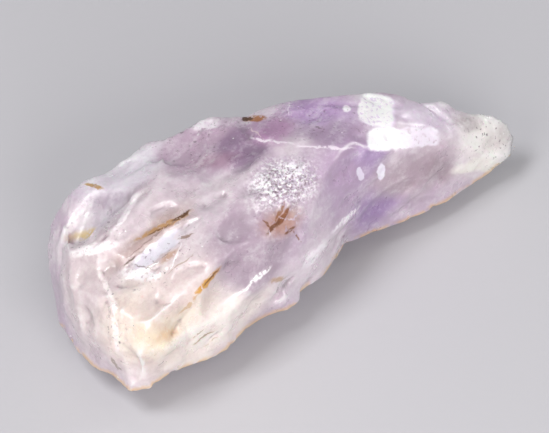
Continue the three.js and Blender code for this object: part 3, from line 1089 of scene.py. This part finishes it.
    def spots(self, tree: Tree) -> tuple[Socket, ...]:
        """Places on the stone in millimetres, bent by noise so that no border is a clean curve.

        Args:
            tree: The material's nodes.

        Returns:
            The places bent for broad zones, bent for small marks, and as they are.
        """
        places = add_node(tree, "ShaderNodeTexCoord").outputs["Object"]
        plain = add_node(
            tree, "ShaderNodeVectorMath", {"operation": "SCALE"}, {0: places, "Scale": 1 / MM}
        ).outputs[0]
        bent = []
        for step_mm, reach_mm in (self.broad_bends_mm, self.small_bends_mm):
            waves = add_node(
                tree,
                "ShaderNodeTexNoise",
                {},
                {"Vector": plain, "Scale": 1 / step_mm, "Detail": 2.5, "Roughness": 0.55},
            )
            moved = add_node(
                tree,
                "ShaderNodeVectorMath",
                {"operation": "MULTIPLY_ADD"},
                {0: waves.outputs["Color"], 1: (reach_mm * 2,) * 3, 2: (-reach_mm,) * 3},
            )
            places = add_node(
                tree, "ShaderNodeVectorMath", {"operation": "ADD"}, {0: plain, 1: moved.outputs[0]}
            )
            bent.append(places.outputs[0])
        return bent[0], bent[1], plain

    def ground(self, tree: Tree, spot: Socket) -> Socket:
        """The quartz's own colour between the zones: milk and lilac in soft clouds.

        Args:
            tree: The material's nodes.
            spot: Places on the stone in millimetres.

        Returns:
            The colour.
        """
        clouds = add_node(
            tree,
            "ShaderNodeTexNoise",
            {},
            {"Vector": spot, "Scale": 1 / self.cloud_mm, "Detail": 3.0, "Roughness": 0.6},
        )
        share = add_node(
            tree,
            "ShaderNodeMapRange",
            {"interpolation_type": "SMOOTHSTEP"},
            {"Value": clouds.outputs["Fac"], "From Min": 0.36, "From Max": 0.62},
        )
        return self.laid_over(tree, linear(self.milk), self.lilac, share.outputs[0])

    def cover(self, tree: Tree, placed: PlacedArea, spot: Socket) -> Socket:
        """How much an area covers each place.

        Args:
            tree: The material's nodes.
            placed: The area on the stone.
            spot: Places on the stone in millimetres.

        Returns:
            A number from 0 to the area's strength.
        """
        area = placed.area
        rim = 1 + area.border.value
        local = add_node(
            tree,
            "ShaderNodeMapping",
            {"vector_type": "TEXTURE"},
            {
                "Vector": spot,
                "Location": placed.middle_mm,
                "Rotation": placed.axes.to_euler(),
                "Scale": Vector(placed.reach_mm) * rim,
            },
        ).outputs[0]
        if area.squared:
            squares = add_node(tree, "ShaderNodeVectorMath", {"operation": "MULTIPLY"}, {0: local, 1: local})
            away = add_node(tree, "ShaderNodeVectorMath", {"operation": "LENGTH"}, {0: squares.outputs[0]})
            away = add_node(tree, "ShaderNodeMath", {"operation": "SQRT"}, {0: away.outputs["Value"]})
            depth = add_node(
                tree, "ShaderNodeMath", {"operation": "SUBTRACT"}, {0: 1.0, 1: away.outputs[0]}
            ).outputs[0]
        else:
            depth = add_node(
                tree, "ShaderNodeTexGradient", {"gradient_type": "SPHERICAL"}, {"Vector": local}
            ).outputs["Fac"]
        return add_node(
            tree,
            "ShaderNodeMapRange",
            {"interpolation_type": "SMOOTHSTEP"},
            {"Value": depth, "From Max": 2 * area.border.value / rim, "To Max": area.strength},
        ).outputs[0]

    def broken_up(self, tree: Tree, cover: Socket, spot: Socket, flecks: Flecks) -> Socket:
        """Breaks an area into flecks.

        Args:
            tree: The material's nodes.
            cover: How much it covers each place.
            spot: Places on the stone in millimetres.
            flecks: How fine and how full they are.

        Returns:
            The broken cover.
        """
        level = add_node(
            tree, "ShaderNodeTexNoise", {}, {"Vector": spot, "Scale": flecks.per_mm, "Detail": 2.0}
        ).outputs["Fac"]
        left = add_node(
            tree,
            "ShaderNodeMapRange",
            {"interpolation_type": "SMOOTHSTEP"},
            {"Value": level, "From Min": flecks.gaps, "From Max": flecks.gaps + flecks.softness},
        )
        return add_node(
            tree, "ShaderNodeMath", {"operation": "MULTIPLY"}, {0: cover, 1: left.outputs[0]}
        ).outputs[0]

    def scattered(self, tree: Tree, spot: Socket, specks: Specks, within: Socket | None) -> Socket:
        """Scatters specks over the stone.

        Args:
            tree: The material's nodes.
            spot: Places on the stone in millimetres.
            specks: How large and how many they are.
            within: How much of each place may hold them, or None for all of the stone.

        Returns:
            How much of each place they cover.
        """
        cells = add_node(
            tree, "ShaderNodeTexVoronoi", {"feature": "F1"}, {"Vector": spot, "Scale": 1 / specks.step_mm}
        )
        mark = add_node(
            tree,
            "ShaderNodeMapRange",
            {"interpolation_type": "SMOOTHSTEP"},
            {
                "Value": cells.outputs["Distance"],
                "From Min": 0.6 * specks.size_mm / specks.step_mm,
                "From Max": 1.4 * specks.size_mm / specks.step_mm,
                "To Min": 1.0,
                "To Max": 0.0,
            },
        )
        chance = add_node(tree, "ShaderNodeSeparateXYZ", {}, {0: cells.outputs["Color"]})
        held = add_node(
            tree, "ShaderNodeMath", {"operation": "LESS_THAN"}, {0: chance.outputs["X"], 1: specks.share}
        )
        marks = add_node(
            tree, "ShaderNodeMath", {"operation": "MULTIPLY"}, {0: mark.outputs[0], 1: held.outputs[0]}
        ).outputs[0]
        if within is None:
            return marks
        return add_node(tree, "ShaderNodeMath", {"operation": "MULTIPLY"}, {0: marks, 1: within}).outputs[0]

    def larger(self, tree: Tree, first: Socket, second: Socket) -> Socket:
        """The larger of two covers."""
        return add_node(tree, "ShaderNodeMath", {"operation": "MAXIMUM"}, {0: first, 1: second}).outputs[0]

    def laid_over(
        self, tree: Tree, colour: Socket | tuple[float, ...], shade: str, cover: Socket
    ) -> Socket:
        """Lays a shade over what is there.

        Args:
            tree: The material's nodes.
            colour: The colour so far, or a plain linear one.
            shade: The sRGB shade.
            cover: How much of each place it covers.

        Returns:
            The new colour.
        """
        return add_node(
            tree,
            "ShaderNodeMix",
            {"data_type": "RGBA"},
            {"Factor": cover, MIX_FIRST: colour, MIX_SECOND: linear(shade)},
        ).outputs[MIX_RESULT]

    def grained(self, tree: Tree, colour: Socket, spot: Socket) -> Socket:
        """Draws the faint paler and darker streaks of growth layers, and a fine mottle.

        Args:
            tree: The material's nodes.
            colour: The colour so far.
            spot: Places on the stone in millimetres.

        Returns:
            The new colour.
        """
        drawn = add_node(
            tree,
            "ShaderNodeMapping",
            {"vector_type": "TEXTURE"},
            {
                "Vector": spot,
                "Rotation": tuple(math.radians(turn) for turn in self.layers_turn_degrees),
                "Scale": self.layers_mm,
            },
        )
        streaks = add_node(
            tree, "ShaderNodeTexNoise", {}, {"Vector": drawn.outputs[0], "Scale": 1.0, "Detail": 3.0}
        )
        mottle = add_node(
            tree,
            "ShaderNodeTexNoise",
            {},
            {"Vector": spot, "Scale": self.mottle_per_mm, "Detail": 4.0, "Roughness": 0.75},
        )
        both = add_node(
            tree,
            "ShaderNodeMath",
            {"operation": "ADD"},
            {0: streaks.outputs["Fac"], 1: mottle.outputs["Fac"]},
        )
        # The two noises add up to 1.0 on average, with paler streaks above it and greyer ones below.
        for low, high, shade, most in (
            (1.0, 1.45, self.streak_and_glint_white, 0.45),
            (1.0, 0.55, self.grey_streak_and_crease_shade, 0.36),
        ):
            share = add_node(
                tree,
                "ShaderNodeMapRange",
                {},
                {"Value": both.outputs[0], "From Min": low, "From Max": high, "To Max": most},
            )
            colour = self.laid_over(tree, colour, shade, share.outputs[0])
        return colour

    def worn_and_lit_edges(self, tree: Tree, colour: Socket, spot: Socket) -> Socket:
        """Paints highlights, partly bruise, on ridges, shade in creases, and a warm glow on the thin lower
        rim.

        Args:
            tree: The material's nodes.
            colour: The colour so far.
            spot: Places on the stone in millimetres.

        Returns:
            The new colour.
        """
        edge = add_node(
            tree, "ShaderNodeAttribute", {"attribute_name": "edge", "attribute_type": "GEOMETRY"}
        ).outputs["Fac"]
        # Painted highlight, over bruised white, on ridges, and painted shade in creases.
        for low, high, shade, most in (
            (0.04, 0.1, self.bruise_and_ridge_highlight, 0.6),
            (-0.03, -0.09, self.grey_streak_and_crease_shade, 0.4),
        ):
            share = add_node(
                tree,
                "ShaderNodeMapRange",
                {"interpolation_type": "SMOOTHSTEP"},
                {"Value": edge, "From Min": low, "From Max": high, "To Max": most},
            )
            colour = self.laid_over(tree, colour, shade, share.outputs[0])
        # A warm glow painted along the thin lower rim, broken into flecks.
        rim = add_node(
            tree, "ShaderNodeAttribute", {"attribute_name": "rim", "attribute_type": "GEOMETRY"}
        ).outputs["Fac"]
        rim = self.broken_up(tree, rim, spot, self.glow_rim_flecks)
        return self.laid_over(tree, colour, self.painted_rim_glow, rim)

    def tilted_flats(self, tree: Tree, spot: Socket, spacing_mm: float) -> Socket:
        """The relief of tiny flat breaks, each tilted its own way.

        Args:
            tree: The material's nodes.
            spot: Places on the stone in millimetres.
            spacing_mm: The usual distance between two breaks.

        Returns:
            The height in millimetres.
        """
        cells = add_node(
            tree, "ShaderNodeTexVoronoi", {"feature": "F1"}, {"Vector": spot, "Scale": 1 / spacing_mm}
        )
        offset = add_node(
            tree,
            "ShaderNodeVectorMath",
            {"operation": "SUBTRACT"},
            {0: spot, 1: cells.outputs["Position"]},
        )
        slope = add_node(
            tree,
            "ShaderNodeVectorMath",
            {"operation": "SUBTRACT"},
            {0: cells.outputs["Color"], 1: (0.5, 0.5, 0.5)},
        )
        return add_node(
            tree,
            "ShaderNodeVectorMath",
            {"operation": "DOT_PRODUCT"},
            {0: offset.outputs[0], 1: slope.outputs[0]},
        ).outputs["Value"]

    def surface(
        self,
        tree: Tree,
        spot: Socket,
        colour: Socket,
        white: Socket,
        dull_marked: Socket,
        sparkle: Socket,
    ) -> None:
        """Ends the material: gloss, clearness, fine relief and the absorption inside.

        Args:
            tree: The material's nodes.
            spot: Places on the stone in millimetres.
            colour: The finished colour.
            white: How much of each place is frost or a painted highlight.
            dull_marked: How much of each place has a stain or a painted dark reflection.
            sparkle: How much of each place is crumbled into glinting points.
        """
        clouds = add_node(
            tree,
            "ShaderNodeTexNoise",
            {},
            {"Vector": spot, "Scale": 1 / self.sheen_mm, "Detail": 3.0, "Roughness": 0.6},
        )
        roughness = add_node(
            tree,
            "ShaderNodeMapRange",
            {},
            {
                "Value": clouds.outputs["Fac"],
                "From Min": 0.35,
                "From Max": 0.65,
                "To Min": self.gloss_roughness + self.gloss_spread[0],
                "To Max": self.gloss_roughness + self.gloss_spread[1],
            },
        )
        dull = add_node(
            tree,
            "ShaderNodeMix",
            {"data_type": "FLOAT"},
            {
                "Factor": dull_marked,
                MIX_FIRST_NUMBER: roughness.outputs[0],
                MIX_SECOND_NUMBER: self.dull_roughness,
            },
        )
        covered = self.larger(tree, white, dull_marked)
        clear = add_node(
            tree,
            "ShaderNodeMapRange",
            {},
            {"Value": covered, "To Min": self.clearness, "To Max": self.covered_clearness},
        )
        fine = add_node(
            tree,
            "ShaderNodeTexNoise",
            {},
            {"Vector": spot, "Scale": self.grit_per_mm, "Detail": 4.0, "Roughness": 0.6},
        )
        relief = add_node(
            tree,
            "ShaderNodeBump",
            {},
            {"Strength": 0.4, "Distance": self.grit_rise_mm * MM, "Height": fine.outputs["Fac"]},
        )
        for spacing_mm, share in ((1.1, 0.15), (0.38, sparkle)):
            relief = add_node(
                tree,
                "ShaderNodeBump",
                {},
                {
                    "Strength": share,
                    "Distance": MM,
                    "Height": self.tilted_flats(tree, spot, spacing_mm),
                    "Normal": relief.outputs[0],
                },
            )
        quartz = add_node(
            tree,
            "ShaderNodeBsdfPrincipled",
            {"subsurface_method": "RANDOM_WALK"},
            {
                "Base Color": colour,
                "Roughness": dull.outputs[0],
                "IOR": self.quartz_ior,
                "Transmission Weight": clear.outputs[0],
                "Subsurface Weight": self.milkiness,
                "Subsurface Radius": self.milk_depth_by_colour,
                "Subsurface Scale": self.milk_depth_mm * MM,
                "Coat Weight": self.coat,
                "Coat Roughness": self.coat_roughness,
                "Coat IOR": self.coat_ior,
                "Normal": relief.outputs[0],
            },
        )
        inside = add_node(
            tree,
            "ShaderNodeVolumeAbsorption",
            {},
            {"Color": linear(self.absorbed), "Density": self.absorption_per_metre},
        )
        add_node(
            tree,
            "ShaderNodeOutputMaterial",
            {},
            {"Surface": quartz.outputs[0], "Volume": inside.outputs[0]},
        )


@dataclass(frozen=True)
class PaleBoard:
    """Matt painted board, rolled on, so it has a faint even tooth and no shine to speak of."""

    paint: str = "#BCBBC0"
    tooth_mm: float = 0.6

    def dress(self, board: bpy.types.Object) -> bpy.types.Material:
        """Gives the floor its material.

        Args:
            board: The floor.

        Returns:
            The material.
        """
        material = bpy.data.materials.new("pale_painted_board")
        material.use_nodes = True
        tree = material.node_tree
        tree.nodes.clear()
        places = add_node(tree, "ShaderNodeTexCoord").outputs["Object"]
        tooth = add_node(
            tree, "ShaderNodeTexNoise", {}, {"Vector": places, "Scale": 1 / (self.tooth_mm * MM)}
        )
        bumps = add_node(
            tree,
            "ShaderNodeBump",
            {},
            {"Strength": 0.08, "Distance": 0.1 * MM, "Height": tooth.outputs["Fac"]},
        )
        paint = add_node(
            tree,
            "ShaderNodeBsdfPrincipled",
            {},
            {
                "Base Color": linear(self.paint),
                "Roughness": 0.75,
                "Specular IOR Level": 0.3,
                "Normal": bumps.outputs[0],
            },
        )
        add_node(tree, "ShaderNodeOutputMaterial", {}, {"Surface": paint.outputs[0]})
        board.data.materials.append(material)
        return material


# The studio.


@dataclass(frozen=True)
class Softbox:
    """A square lamp behind white cloth.

    Attributes:
        name: What it is called.
        turn_degrees: Its direction from the stone, anticlockwise from the front seen from above.
        lift_degrees: Its height above the floor as an angle.
        distance_mm: How far it is from the stone.
        side_mm: Its side.
        watts: Its power.
        tint: Its sRGB colour.
        aim_height_mm: The height above the floor of the point that it faces.
    """

    name: str
    turn_degrees: float
    lift_degrees: float
    distance_mm: float
    side_mm: float
    watts: float
    tint: str = "#FFFFFF"
    aim_height_mm: float = 6.0

    def build(self) -> bpy.types.Object:
        """Adds the lamp, turned to the stone.

        Returns:
            The lamp.
        """
        data = bpy.data.lights.new(self.name, "AREA")
        data.shape = "SQUARE"
        data.size = self.side_mm * MM
        data.energy = self.watts
        data.color = linear(self.tint)[:3]
        lamp = bpy.data.objects.new(self.name, data)
        away = direction(self.turn_degrees, self.lift_degrees)
        lamp.location = (Vector((0, 0, self.aim_height_mm)) + away * self.distance_mm) * MM
        lamp.rotation_euler = away.to_track_quat("Z", "Y").to_euler()
        bpy.context.scene.collection.objects.link(lamp)
        return lamp


@dataclass
class Studio:
    """The pale floor, the soft lamps and the even light of the room."""

    floor_side_mm: float = 4000.0
    floor_gap_mm: float = 0.02
    room_light: float = 0.32
    room_colour: str = "#F4F4F7"
    lamps: tuple[Softbox, ...] = (
        Softbox("overhead_softbox", -80, 62, 430, 150, 1.0),
        Softbox("left_softbox", -60, 32, 450, 220, 0.6, "#FFFBF4"),
        Softbox("front_softbox", -8, 26, 520, 300, 1.7, "#FFFDF9"),
        Softbox("right_softbox", 86, 24, 420, 110, 0.3),
    )

    def build(self) -> bpy.types.Object:
        """Builds the floor, the lamps and the room's light.

        Returns:
            The floor.
        """
        half = self.floor_side_mm * MM / 2
        level = -self.floor_gap_mm * MM
        mesh = bpy.data.meshes.new("pale_floor")
        corners = [(-half, -half, level), (half, -half, level), (half, half, level), (-half, half, level)]
        mesh.from_pydata(corners, [], [(0, 1, 2, 3)])
        floor = bpy.data.objects.new("pale_floor", mesh)
        bpy.context.scene.collection.objects.link(floor)
        PaleBoard().dress(floor)
        for lamp in self.lamps:
            lamp.build()
        world = bpy.data.worlds.new("soft_room")
        bpy.context.scene.world = world
        world.use_nodes = True
        world.node_tree.nodes.clear()
        room = add_node(
            world.node_tree,
            "ShaderNodeBackground",
            {},
            {"Color": linear(self.room_colour), "Strength": self.room_light},
        )
        add_node(world.node_tree, "ShaderNodeOutputWorld", {}, {"Surface": room.outputs[0]})
        bpy.context.scene.view_settings.view_transform = "Standard"
        return floor


def main() -> None:
    """Builds the stone and the studio."""
    logging.basicConfig(level=logging.INFO, format="%(name)s: %(message)s")
    view = Viewpoint()
    stone, surveyor = AmethystStone(view).build()
    log.info("%s: %d faces", stone.name, len(stone.data.polygons))
    finish = MilkyAmethyst().dress(stone, surveyor)
    log.info("%s: %d nodes", finish.name, len(finish.node_tree.nodes))
    studio = Studio()
    floor = studio.build()
    log.info("%s: %d lamps over it", floor.name, len(studio.lamps))
    camera = view.add_camera()
    log.info("%s: lens of %.0f mm", camera.name, camera.data.lens)


if __name__ == "__main__":
    main()
